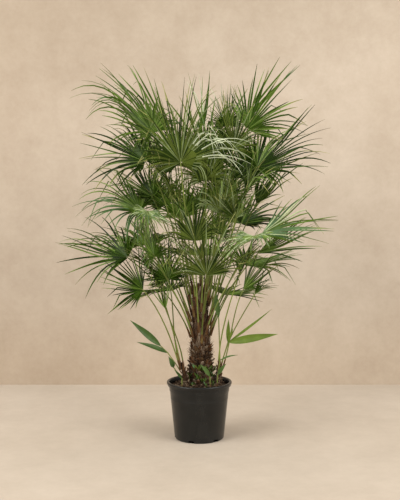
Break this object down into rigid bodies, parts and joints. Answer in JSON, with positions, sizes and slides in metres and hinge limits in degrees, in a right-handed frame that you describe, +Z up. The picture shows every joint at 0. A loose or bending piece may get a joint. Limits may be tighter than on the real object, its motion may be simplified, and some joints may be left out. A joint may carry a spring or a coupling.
{
  "type": "potted european fan palm",
  "caption": "Potted european fan palm: fibrous trunk with basal suckers, spreading fan-shaped fronds on long petioles, in a plain black nursery pot.",
  "frame": {"origin": "middle of the flat underside of the pot, which is the plane the plant stands on", "axes": "+Z up along the trunk; the side that the picture shows faces -Y; +X is to the right in the picture"},
  "size_m": [1.2685, 1.0487, 1.77],
  "materials": {
    "black_pot": "satin black moulded plastic",
    "bark_soil": "rough bark and peat",
    "fibrous_stem": "rough fibrous",
    "frond_green": "leaf, slightly glossy",
    "young_green": "young leaf, slightly glossy"
  },
  "bodies": {
    "root": {"pot": "black_pot", "soil": "bark_soil", "trunk": "fibrous_stem", "sucker_left": "fibrous_stem", "sucker_right": "fibrous_stem", "young_left": "young_green", "young_foot_left": "young_green", "young_right": "young_green", "young_foot_right": "young_green", "young_foot_middle": "young_green", "young_spear": "young_green", "frond_top_left": "frond_green", "frond_top_left_back": "frond_green", "frond_upper_left": "frond_green", "frond_middle_left": "frond_green", "frond_lower_left": "frond_green", "frond_lowest_left": "frond_green", "frond_inner_left": "frond_green", "frond_inner_lower_left": "frond_green", "frond_front_top": "frond_green", "frond_front_upper": "frond_green", "frond_crest": "frond_green", "frond_crest_back": "frond_green", "frond_front_right_top": "frond_green", "frond_top_right": "frond_green", "frond_top_right_back": "frond_green", "frond_upper_right": "frond_green", "frond_middle_right": "frond_green", "frond_inner_right": "frond_green", "frond_inner_middle": "frond_green", "frond_right": "frond_green", "frond_lower_right": "frond_green", "frond_lowest_right": "frond_green", "frond_front_low": "frond_green", "frond_front_right_low": "frond_green", "frond_front_left_middle": "frond_green", "frond_folded_left": "frond_green", "frond_twisted_right": "frond_green", "frond_inner_left_high": "frond_green", "frond_inner_left_middle": "frond_green", "frond_inner_right_high": "frond_green", "frond_back_left_middle": "frond_green", "frond_back_right_high": "frond_green", "frond_back_top": "frond_green", "frond_back_top_left": "frond_green", "frond_back_middle": "frond_green", "frond_back_right_middle": "frond_green", "frond_back_left_low": "frond_green", "frond_back_low": "frond_green", "frond_back_right_low": "frond_green", "frond_back_lowest_left": "frond_green", "frond_back_lowest_right": "frond_green", "frond_inner_top_left": "frond_green", "frond_inner_top_right": "frond_green", "frond_inner_left_upper": "frond_green", "frond_inner_right_upper": "frond_green", "frond_inner_front_middle": "frond_green", "frond_inner_front_high": "frond_green", "frond_inner_left_low": "frond_green", "frond_inner_right_low": "frond_green"}
  },
  "joints": []
}
